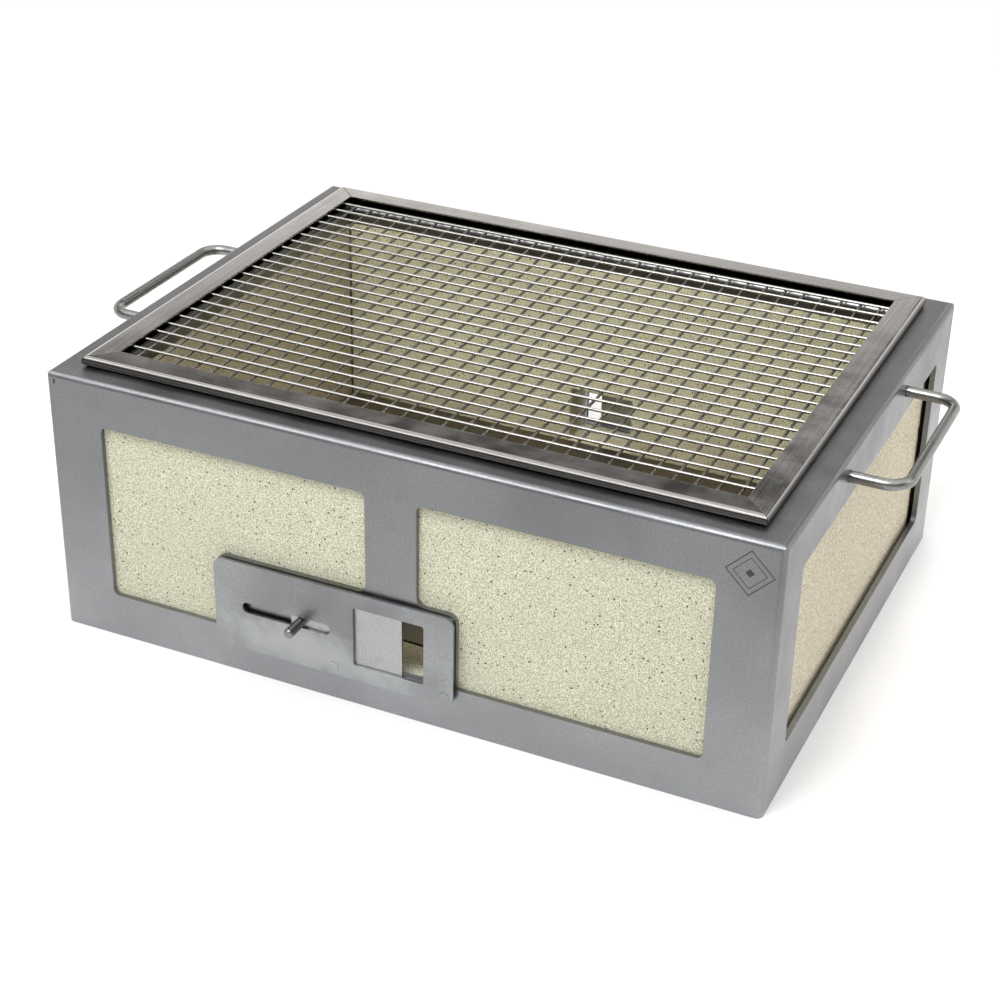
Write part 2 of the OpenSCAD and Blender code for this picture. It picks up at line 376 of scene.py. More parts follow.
@dataclass(frozen=True)
class SheetSteel:
    """Satin mild-steel sheet: cloudy tone, fine mill grain, blotches, faint scuffs, and painted shading
    that is darker towards the rim.
    """

    name: str
    tone: Triple
    rough: float = 0.36
    cloud: float = 0.16
    # Strength of the painted shading, darker at the rim and lighter at the foot.
    painted_shade_range: float = 0.16
    mark_at: tuple[float, float] | None = None
    # Clouds of another tone: dark smudges, and bright clouds that are painted highlights.
    smudges_and_any_sheen: tuple[Cloud, ...] = ()
    rim: float = 165 * MM
    front: float = -152 * MM
    mill_tone: Triple = (0.16, 0.165, 0.17)
    blotch_tone: Triple = (0.2, 0.2, 0.21)
    etched_tone: Triple = (0.03, 0.03, 0.032)
    clouds: Pattern = Pattern(scale=11, detail=3, rough=0.55, low=0.3, high=0.7)
    blotches: Pattern = Pattern(scale=85, detail=4, rough=0.6, low=0.52, high=0.72, most=0.16)
    scuffs: tuple[Pattern, ...] = (
        Pattern(scale=1, detail=2, rough=0.5, low=0.66, high=0.76, most=0.3, stretch=(520, 520, 28)),
        Pattern(scale=1, detail=2, rough=0.5, low=0.68, high=0.78, most=0.3, stretch=(30, 30, 640)),
    )

    def material(self) -> Material:
        """Builds the finish."""
        paint = Paint(self.name, 1.0, self.rough)
        light = scaled(self.tone, 1 + self.cloud)
        color = paint.blend(self.clouds.on(paint), scaled(self.tone, 1 - self.cloud), light)
        mill = paint.noise(1050, 2, 0.7)
        color = paint.blend(paint.span(mill, 0.35, 0.65, 0.0, 0.34), color, self.mill_tone)
        color = paint.blend(self.blotches.on(paint), color, self.blotch_tone)
        for scuff in self.scuffs:
            color = paint.blend(scuff.on(paint), color, light)
        # Painted shading: the tone is multiplied darker towards the rim and lighter towards the foot.
        color = paint.blend(1.0, color, self._painted_height_shade(paint), "MULTIPLY")
        # Smudges, and painted highlights where a cloud's tone is lighter than the steel.
        for cloud_patch in self.smudges_and_any_sheen:
            color = paint.blend(cloud_patch.share_of(paint), color, cloud_patch.tone)
        if self.mark_at is not None:
            color = paint.blend(self._mark(paint), color, self.etched_tone)
        gloss = Pattern(26, 4, 0.6, 0.25, 0.75, least=self.rough - 0.06, most=self.rough + 0.08)
        paint.rise(paint.noise(60, 3, 0.5), depth=0.12 * MM, strength=0.35)
        paint.rise(mill, depth=0.03 * MM, strength=0.5)
        return paint.done(color, gloss.on(paint))

    def _painted_height_shade(self, paint: Paint) -> Socket:
        """Painted shading: darker towards the rim and lighter towards the foot, standing in for light
        that the floor throws onto the lower walls.

        Args:
            paint: The material in the making.

        Returns:
            The tone to multiply by.
        """
        height = paint.calc("MULTIPLY_ADD", paint.noise(9, 3, 0.5), 0.03, paint.axis(Axis.ALONG_Z))
        share = paint.span(height, 0.0, self.rim)
        return paint.blend(share, (1.0 + self.painted_shade_range,) * 3, (1.0 - self.painted_shade_range,) * 3)

    def _mark(self, paint: Paint) -> Socket:
        """Share of an etched diamond, two thin outlines and a dot, on the front wall.

        Args:
            paint: The material in the making.

        Returns:
            The share of etched tone.
        """
        sides = [
            paint.calc("ABSOLUTE", paint.calc("SUBTRACT", paint.axis(axis), middle))
            for axis, middle in zip((Axis.ALONG_X, Axis.ALONG_Z), self.mark_at)
        ]
        reach = paint.calc("ADD", *sides)
        share: Socket | None = None
        for middle, half in ((11.8 * MM, 0.3 * MM), (8.2 * MM, 0.18 * MM), (0.0, 2.2 * MM)):
            off = paint.calc("ABSOLUTE", paint.calc("SUBTRACT", reach, middle))
            line = paint.span(off, half, half + 0.2 * MM, 1.0, 0.0)
            share = line if share is None else paint.calc("MAXIMUM", share, line)
        facing = paint.span(paint.axis(Axis.ALONG_Y), self.front - 0.2 * MM, self.front, 0.82, 0.0)
        return paint.calc("MULTIPLY", share, facing)


@dataclass(frozen=True)
class StreakedSteel:
    """Bright steel brushed or drawn along one axis, with painted shade below a given height where one
    is set.
    """

    name: str
    tone: Triple
    along: Axis
    rough: float = 0.19
    streak: float = 0.24
    fine: float = 1100.0
    scuffed: float = 0.14
    # Height below which the rail gets painted shade on its folded edge and underside, and that shade's
    # tone.
    painted_shade_below: float | None = None
    painted_shade_edge: float = 0.4 * MM
    scuff_tone: Triple = (0.2, 0.19, 0.18)
    dark_below_tone: Triple = (0.05, 0.046, 0.042)

    def material(self) -> Material:
        """Builds the finish."""
        paint = Paint(self.name, 1.0, self.rough)
        streaks = paint.noise(1, 3, 0.6, paint.stretched(self._drawn(self.fine, self.fine * 0.012)))
        bands = Pattern(1, 3, 0.55, 0.4, 0.75, most=0.3, stretch=self._drawn(90.0, 5.0))
        scuffs = Pattern(260, 4, 0.65, 0.6, 0.75, most=self.scuffed)
        gloss = Pattern(40, 4, 0.6, 0.3, 0.7, least=self.rough - 0.04, most=self.rough + 0.07)
        dark = scaled(self.tone, 1 - self.streak)
        color = paint.blend(paint.span(streaks, 0.3, 0.7), dark, self.tone)
        color = paint.blend(bands.on(paint), color, dark)
        color = paint.blend(scuffs.on(paint), color, self.scuff_tone)
        # Painted shade: the rail turns dark below a height, where its folded edge and underside lie in
        # shade.
        if self.painted_shade_below is not None:
            top, bottom = self.painted_shade_below + self.painted_shade_edge, self.painted_shade_below - self.painted_shade_edge
            painted_shade = paint.span(paint.axis(Axis.ALONG_Z), top, bottom, 0.0, 0.8)
            color = paint.blend(painted_shade, color, self.dark_below_tone)
        paint.rise(streaks, depth=0.02 * MM, strength=0.4)
        paint.rise(paint.noise(45, 2, 0.5), depth=0.05 * MM, strength=0.2)
        return paint.done(color, gloss.on(paint))

    def _drawn(self, across: float, along: float) -> Triple:
        """Scale of a pattern that is drawn out along the steel."""
        scale = [across] * 3
        scale[self.along.value] = along
        return tuple(scale)


@dataclass(frozen=True)
class BurntSteel:
    """Dark plate, browned by heat, with ash dust."""

    name: str
    dark: Triple = (0.085, 0.075, 0.055)
    brown: Triple = (0.15, 0.125, 0.085)
    ash_tone: Triple = (0.3, 0.28, 0.22)
    heat: Pattern = Pattern(scale=16, detail=4, rough=0.6, low=0.3, high=0.7)
    ash: Pattern = Pattern(scale=420, detail=4, rough=0.7, low=0.58, high=0.75, most=0.45)
    gloss: Pattern = Pattern(scale=60, detail=4, rough=0.6, low=0.3, high=0.7, least=0.32, most=0.52)

    def material(self) -> Material:
        """Builds the finish."""
        paint = Paint(self.name, 0.85, 0.42)
        color = paint.blend(self.heat.on(paint), self.dark, self.brown)
        color = paint.blend(self.ash.on(paint), color, self.ash_tone)
        paint.rise(paint.noise(45, 3, 0.5), depth=0.15 * MM, strength=0.4)
        return paint.done(color, self.gloss.on(paint))


@dataclass(frozen=True)
class Grog:
    """One kind of grain in the refractory: cells in a metre, and its radius as a share of a cell."""

    cells: float
    size: float
    share: float
    strength: float
    tone: Triple


@dataclass(frozen=True)
class Refractory:
    """Cream refractory with grog specks, browned on the side that faces the fire."""

    name: str
    tone: Triple
    speck: float
    inward: Axis
    face: float
    depth: float
    joint: float | None = None
    fired: Triple = (0.96, 0.92, 0.78)
    dark_below_tone: Triple = (0.24, 0.19, 0.12)
    smudge_tone: Triple = (0.3, 0.26, 0.18)
    gap_tone: Triple = (0.04, 0.033, 0.022)
    sand: Pattern = Pattern(scale=1350, detail=1, rough=0.6, low=0.36, high=0.64)
    drift: Pattern = Pattern(scale=24, detail=3, rough=0.5, low=0.35, high=0.65, most=0.14)
    smudges_and_any_sheen: Pattern = Pattern(scale=33, detail=4, rough=0.62, low=0.5, high=0.72, most=0.25)
    grog: tuple[Grog, ...] = (
        Grog(cells=900, size=0.3, share=0.55, strength=0.8, tone=(0.3, 0.27, 0.15)),
        Grog(cells=560, size=0.24, share=0.42, strength=0.85, tone=(0.14, 0.12, 0.065)),
        Grog(cells=300, size=0.2, share=0.5, strength=0.95, tone=(0.03, 0.027, 0.018)),
    )

    def material(self) -> Material:
        """Builds the finish."""
        paint = Paint(self.name, 0.0, 0.92)
        paint.shader.inputs["Specular IOR Level"].default_value = 0.2
        shade = tuple(c * f for c, f in zip(self.tone, (0.62, 0.63, 0.52)))
        light = tuple(min(0.9, c * f) for c, f in zip(self.tone, (1.18, 1.17, 1.24)))
        color = paint.blend(self.sand.on(paint), shade, light)
        color = paint.blend(self.drift.on(paint), color, scaled(self.tone, 0.8))
        for grog in self.grog:
            color = self._specks(paint, color, grog)
        color = self._browned(paint, color)
        paint.rise(paint.noise(1100, 3, 0.7), depth=0.12 * MM, strength=0.5)
        paint.rise(paint.noise(130, 3, 0.5), depth=0.2 * MM, strength=0.25)
        return paint.done(color)

    def _specks(self, paint: Paint, color: Socket, grog: Grog) -> Socket:
        """Strews one kind of grain over the colour.

        Args:
            paint: The material in the making.
            color: The colour below.
            grog: The kind of grain.

        Returns:
            The colour with the grains.
        """
        wobble = paint.noise(grog.cells * 2.5, 2, 0.5)
        distance, chance = paint.grains(grog.cells)
        edge = paint.calc("MULTIPLY_ADD", wobble, grog.size * 0.9, distance)
        shape = paint.span(edge, grog.size * 1.35, grog.size * 1.05, 0.0, grog.strength)
        kept = paint.calc("LESS_THAN", chance, grog.share * self.speck)
        return paint.blend(paint.calc("MULTIPLY", shape, kept), color, grog.tone)

    def _browned(self, paint: Paint, color: Socket) -> Socket:
        """Browns the face towards the fire, darkens it towards the bottom, and adds a dark joint in the
        corners.

        Args:
            paint: The material in the making.
            color: The colour below.

        Returns:
            The browned colour.
        """
        out = paint.calc("ABSOLUTE", paint.axis(self.inward))
        inside = paint.span(out, self.face + self.depth, self.face + self.depth * 0.4, 0.0, 1.0)
        tinted = paint.blend(0.75, color, self.fired, "MULTIPLY")
        # Darker towards the bottom of the fire box.
        low = paint.calc("MULTIPLY_ADD", paint.noise(20, 4, 0.6), 0.05, paint.axis(Axis.ALONG_Z))
        tinted = paint.blend(paint.span(low, 100 * MM, 35 * MM, 0.0, 0.6), tinted, self.dark_below_tone)
        tinted = paint.blend(self.smudges_and_any_sheen.on(paint), tinted, self.smudge_tone)
        if self.joint is not None:
            off = paint.calc("ABSOLUTE", paint.axis(Axis.ALONG_X))
            gap = paint.span(off, self.joint - 1.6 * MM, self.joint - 0.4 * MM, 0.0, 0.9)
            tinted = paint.blend(gap, tinted, self.gap_tone)
        return paint.blend(inside, color, tinted)


# ---------------------------------------------------------------- mesh tools


def place(obj: Object, body: str, slot: str, *nodes: str) -> Object:
    """Attaches a finished piece to its body and hides the CAD nodes that it stands for.

    Args:
        obj: The piece.
        body: The body that it rides on.
        slot: Not used.
        nodes: CAD nodes that it stands for.

    Returns:
        The same piece.
    """
    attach(obj, body)
    if nodes:
        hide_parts(*nodes)
    LOG.info("%s rides on %s, %d faces", obj.name, body, len(obj.data.polygons))
    return obj


def linked(name: str, mesh: bpy.types.Mesh) -> Object:
    """A new object in the scene that holds the mesh."""
    obj = bpy.data.objects.new(name, mesh)
    bpy.context.scene.collection.objects.link(obj)
    return obj


def clean_copy(node: Object) -> BMesh:
    """The node's mesh with its triangles joined and its flat faces whole.

    Args:
        node: A CAD node.

    Returns:
        The joined mesh.
    """
    bm = bmesh.new()
    bm.from_mesh(node.data)
    bmesh.ops.remove_doubles(bm, verts=bm.verts, dist=JOIN)
    flat = math.radians(1.0)
    bmesh.ops.dissolve_limit(bm, angle_limit=flat, verts=bm.verts, edges=bm.edges, delimit={"NORMAL"})
    return bm


def round_edges(bm: BMesh, width: float, steps: int = 2, sharp: float = 35.0) -> None:
    """Breaks the sharp edges.

    Args:
        bm: The mesh.
        width: Width of the break on each side.
        steps: Faces across it.
        sharp: Edges that turn by more than this many degrees are broken.
    """
    limit = math.radians(sharp)
    edges = [e for e in bm.edges if len(e.link_faces) == 2 and e.calc_face_angle(0.0) > limit]
    bmesh.ops.bevel(
        bm,
        geom=edges,
        offset=width,
        segments=steps,
        profile=0.6,
        affect="EDGES",
        clamp_overlap=True,
    )


def to_piece(bm: BMesh, name: str, material: Material, angle: float = 40.0) -> Object:
    """Turns the mesh into an object with smooth shading up to an angle.

    Args:
        bm: The mesh, which is freed.
        name: Name of the object.
        material: Its finish.
        angle: Edges that turn by more than this many degrees stay sharp.

    Returns:
        The new object.
    """
    limit = math.radians(angle)
    for face in bm.faces:
        face.smooth = True
    for edge in bm.edges:
        edge.smooth = len(edge.link_faces) == 2 and edge.calc_face_angle(0.0) < limit
    mesh = bpy.data.meshes.new(name)
    bm.to_mesh(mesh)
    bm.free()
    mesh.materials.append(material)
    obj = linked(name, mesh)
    flatten = obj.modifiers.new("Flat faces stay flat", "WEIGHTED_NORMAL")
    flatten.mode = "FACE_AREA"
    flatten.weight = 100
    flatten.keep_sharp = True
    return obj


def cut_grid(bm: BMesh, low: Vector, high: Vector, pitch: float) -> None:
    """Cuts the mesh by evenly spaced planes on all three axes.

    Args:
        bm: The mesh.
        low: Lowest corner of its box.
        high: Highest corner of its box.
        pitch: Distance from plane to plane.
    """
    for axis in range(3):
        count = max(1, round((high[axis] - low[axis]) / pitch))
        normal = Vector((0, 0, 0))
        normal[axis] = 1.0
        for step in range(1, count):
            point = low.lerp(high, step / count)
            bmesh.ops.bisect_plane(
                bm,
                geom=bm.verts[:] + bm.edges[:] + bm.faces[:],
                dist=1e-7,
                plane_co=point,
                plane_no=normal,
            )


class Tree:
    """Builds a geometry node tree with named inputs."""

    def __init__(self, name: str) -> None:
        """Starts an empty tree with one geometry output."""
        self.group = bpy.data.node_groups.new(name, "GeometryNodeTree")
        self.source = self.group.nodes.new("NodeGroupInput")
        self.sink = self.group.nodes.new("NodeGroupOutput")
        self.keys: dict[str, str] = {}
        self.group.interface.new_socket("Geometry", in_out="OUTPUT", socket_type="NodeSocketGeometry")

    def given(self, name: str, kind: str = "Float") -> Socket:
        """Adds a named input.

        Args:
            name: Name of the input.
            kind: Its type, as in Blender's socket names.

        Returns:
            The socket that carries it inside the tree.
        """
        item = self.group.interface.new_socket(name, in_out="INPUT", socket_type=f"NodeSocket{kind}")
        self.keys[name] = item.identifier
        return next(s for s in self.source.outputs if s.identifier == item.identifier)

    def node(
        self,
        kind: str,
        settings: dict[str, str] | None = None,
        **inputs: Socket | float | Triple,
    ) -> bpy.types.Node:
        """Adds a node.

        Args:
            kind: Blender's name of the node type.
            settings: Properties to set.
            inputs: Input values or sockets, by input name with _ for a space.

        Returns:
            The node.
        """
        made = self.group.nodes.new(kind)
        for key, value in (settings or {}).items():
            setattr(made, key, value)
        for key, value in inputs.items():
            self.feed(made.inputs[key.replace("_", " ").strip()], value)
        return made

    def feed(self, socket: Socket, value: Socket | float | Triple | Material) -> None:
        """Links or sets one input."""
        if isinstance(value, Socket):
            self.group.links.new(value, socket)
        else:
            socket.default_value = value

    def calc(self, operation: str, *values: Socket | float) -> Socket:
        """A Math node.

        Args:
            operation: Blender's name of the operation.
            values: Sockets or numbers.

        Returns:
            The result.
        """
        made = self.node("ShaderNodeMath", {"operation": operation})
        for index, value in enumerate(values):
            self.feed(made.inputs[index], value)
        return made.outputs[0]

    def vector(self, x: Socket | float, y: Socket | float, z: Socket | float) -> Socket:
        """A vector from three sockets or numbers."""
        return self.node("ShaderNodeCombineXYZ", X=x, Y=y, Z=z).outputs[0]

    def finish(self, geometry: Socket, material: Socket) -> None:
        """Ends the tree with smooth faces, real geometry and the material."""
        smooth = self.node("GeometryNodeSetShadeSmooth", Geometry=geometry)
        real = self.node("GeometryNodeRealizeInstances", Geometry=smooth.outputs[0])
        dressed = self.node("GeometryNodeSetMaterial", Geometry=real.outputs[0], Material=material)
        self.group.links.new(dressed.outputs[0], self.sink.inputs[0])

    def bake(self, name: str, values: dict, start: bpy.types.Mesh | None = None) -> Object:
        """Runs the tree and keeps its result as a plain mesh.

        Args:
            name: Name of the new object.
            values: The tree's inputs by name.
            start: Mesh that the tree begins from, if it takes one.

        Returns:
            The new object, with no modifier left on it.
        """
        obj = linked(name, start or bpy.data.meshes.new(f"{name}_start"))
        modifier = obj.modifiers.new("Shape", "NODES")
        modifier.node_group = self.group
        for key, value in values.items():
            modifier[self.keys[key]] = value
        bpy.context.view_layer.update()
        graph = bpy.context.evaluated_depsgraph_get()
        mesh = bpy.data.meshes.new_from_object(obj.evaluated_get(graph))
        obj.modifiers.clear()
        obj.data = mesh
        mesh.name = name
        return obj


# ---------------------------------------------------------------- sub-assemblies


@dataclass
class Casing:
    """Folded steel casing and the base sheet in it."""

    nodes: dict[str, Object]
    edge_break: float = 0.35 * MM
    steel: SheetSteel = SheetSteel(
        "casing_satin",
        (0.286, 0.292, 0.301),
        rough=0.35,
        cloud=0.1,
        painted_shade_range=0.22,
        mark_at=(183.5 * MM, 134.5 * MM),
    )

    def build(self) -> None:
        """Builds the casing's pieces."""
        skin = self.steel.material()
        for node, name in (("casing", "casing_shell"), ("base_tray", "base_sheet")):
            bm = clean_copy(self.nodes[node])
            round_edges(bm, self.edge_break)
            place(to_piece(bm, name, skin), "case", "casing_steel", node)
        for node in ("left_handle_welds", "right_handle_welds"):
            self.nodes[node].data.materials.clear()
            self.nodes[node].data.materials.append(skin)


@dataclass
class Lining:
    """Refractory slabs around and under the fire, and the loose floor plate."""

    nodes: dict[str, Object]
    fire_x: float = 172 * MM
    fire_y: float = 124.5 * MM
    end_depth: float = 24.5 * MM
    side_depth: float = 22 * MM
    pitch: float = 3.2 * MM
    edge_break: float = 0.7 * MM
    chip: float = 0.9 * MM
    chip_reach: float = 3.0 * MM
    chips: float = 210
    crumbs: float = 520
    intact: float = 0.12
    corner: float = 1.0
    cast_fold: float = 60.0
    plate_break: float = 0.4 * MM
    cream: Triple = (0.652, 0.645, 0.508)
    warm: Triple = (0.68, 0.63, 0.505)

    def build(self) -> None:
        """Builds the slabs and the plate."""
        ends = Refractory(
            "refractory_ends",
            self.cream,
            speck=1.0,
            inward=Axis.ALONG_Y,
            face=self.fire_y,
            depth=self.end_depth,
            joint=self.fire_x,
        )
        sides = Refractory(
            "refractory_sides",
            self.warm,
            speck=0.55,
            inward=Axis.ALONG_X,
            face=self.fire_x,
            depth=self.side_depth,
        )
        for finish, places in ((ends, ("front", "rear")), (sides, ("left", "right", "floor"))):
            skin = finish.material()
            for spot in places:
                self._slab(f"{spot}_slab", skin)
        bm = clean_copy(self.nodes["floor_plate"])
        round_edges(bm, self.plate_break)
        plate = to_piece(bm, "fire_plate", BurntSteel("fire_plate_browned").material())
        place(plate, "floor_plate", "floor_steel", "floor_plate")

    def _slab(self, node: str, skin: Material) -> None:
        """Builds one slab with worn edges.

        Args:
            node: The slab's CAD node.
            skin: Its finish.
        """
        low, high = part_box(node)
        bm = clean_copy(self.nodes[node])
        sharp = [
            (e.verts[0].co.copy(), e.verts[1].co.copy())
            for e in bm.edges
            if len(e.link_faces) == 2 and e.calc_face_angle(0.0) > self.corner
        ]
        round_edges(bm, self.edge_break)
        cut_grid(bm, low, high, self.pitch)
        bmesh.ops.triangulate(bm, faces=[f for f in bm.faces if len(f.verts) > 4])
        bm.normal_update()
        moves = []
        for vert in bm.verts:
            near = min(self._off(vert.co, a, b) for a, b in sharp)
            if near > self.chip_reach:
                continue
            bite = noise.noise(vert.co * self.chips) + 0.5 * noise.noise(vert.co * self.crumbs)
            depth = max(0.0, bite - self.intact) * self.chip * (1 - near / self.chip_reach)
            moves.append((vert, vert.normal * -depth))
        for vert, move in moves:
            vert.co += move
        place(to_piece(bm, f"{node}_cast", skin, self.cast_fold), "case", "refractory", node)

    @staticmethod
    def _off(point: Vector, a: Vector, b: Vector) -> float:
        """Distance from a point to a straight edge from a to b."""
        along = b - a
        t = max(0.0, min(1.0, (point - a).dot(along) / along.length_squared))
        return (point - a - along * t).length


@dataclass
class Damper:
    """Air damper: cover plate, guides, shutter with its pull pin, plug welds."""

    nodes: dict[str, Object]
    side: Side
    cover_finish: Material
    shutter_finish: Material
    pin_finish: Material
    cover_break: float = 0.25 * MM
    shutter_break: float = 0.18 * MM
    small_break: float = 0.15 * MM
    weld_break: float = 0.12 * MM

    def build(self) -> None:
        """Builds the damper's pieces."""
        end = self.side.name.lower()
        mover = f"{end}_shutter"
        fixed = ("case", "cover_steel", self.cover_finish)
        for part, (body, slot, skin), width in (
            ("cover_plate", fixed, self.cover_break),
            ("upper_guide", fixed, self.small_break),
            ("lower_guide", fixed, self.small_break),
            ("plug_welds", fixed, self.weld_break),
            ("shutter", (mover, "shutter_steel", self.shutter_finish), self.shutter_break),
            ("pull_pin", (mover, "handle_steel", self.pin_finish), self.small_break),
        ):
            node = f"{end}_{part}"
            bm = clean_copy(self.nodes[node])
            round_edges(bm, width)
            place(to_piece(bm, f"{node}_finished", skin), body, slot, node)


@dataclass
class Handle:
    """Bent rod handle at one side."""

    hand: Hand
    finish: Material
    wall: float = 200 * MM
    reach: float = 28 * MM
    leg: float = 52.5 * MM
    height: float = 140 * MM
    inside: float = 4.5 * MM
    bend: float = 11 * MM
    rod: float = 6 * MM
    sides: int = 24
    bend_steps: int = 14
    sharp: float = 0.8

    def tree(self) -> Tree:
        """Tree that bends a rod along a path of straight runs.

        Returns:
            The tree.
        """
        tree = Tree("bent_rod")
        tree.group.interface.new_socket("Path", in_out="INPUT", socket_type="NodeSocketGeometry")
        path = tree.source.outputs[0]
        diameter, bend = tree.given("Rod diameter"), tree.given("Bend radius")
        material = tree.given("Finish", "Material")
        curve = tree.node("GeometryNodeMeshToCurve", Mesh=path)
        bent = tree.node(
            "GeometryNodeFilletCurve",
            {"mode": "POLY"},
            Curve=curve.outputs[0],
            Radius=bend,
            Count=self.bend_steps,
        )
        ring = tree.node(
            "GeometryNodeCurvePrimitiveCircle",
            Resolution=self.sides,
            Radius=tree.calc("MULTIPLY", diameter, 0.5),
        )
        rod = tree.node(
            "GeometryNodeCurveToMesh",
            Curve=bent.outputs[0],
            Profile_Curve=ring.outputs[0],
            Fill_Caps=True,
        )
        tree.finish(rod.outputs[0], material)
        return tree

    def build(self, tree: Tree) -> None:
        """Builds the handle.

        Args:
            tree: The bent-rod tree.
        """
        name = self.hand.name.lower()
        foot, grip = self.wall - self.inside, self.wall + self.reach
        corners = [(foot, -self.leg), (grip, -self.leg), (grip, self.leg), (foot, self.leg)]
        points = [Vector((x * self.hand.value, y, self.height)) for x, y in corners]
        mesh = bpy.data.meshes.new(f"{name}_path")
        mesh.from_pydata(points, [(0, 1), (1, 2), (2, 3)], [])
        values = {"Rod diameter": self.rod, "Bend radius": self.bend, "Finish": self.finish}
        rod = tree.bake(f"{name}_handle_rod", values, mesh)
        bm = bmesh.new()
        bm.from_mesh(rod.data)
        bmesh.ops.remove_doubles(bm, verts=bm.verts, dist=0.001 * MM)
        bmesh.ops.recalc_face_normals(bm, faces=bm.faces)
        for edge in bm.edges:
            edge.smooth = edge.calc_face_angle(0.0) < self.sharp
        bm.to_mesh(rod.data)
        bm.free()
        place(rod, "case", "handle_steel", f"{name}_handle")


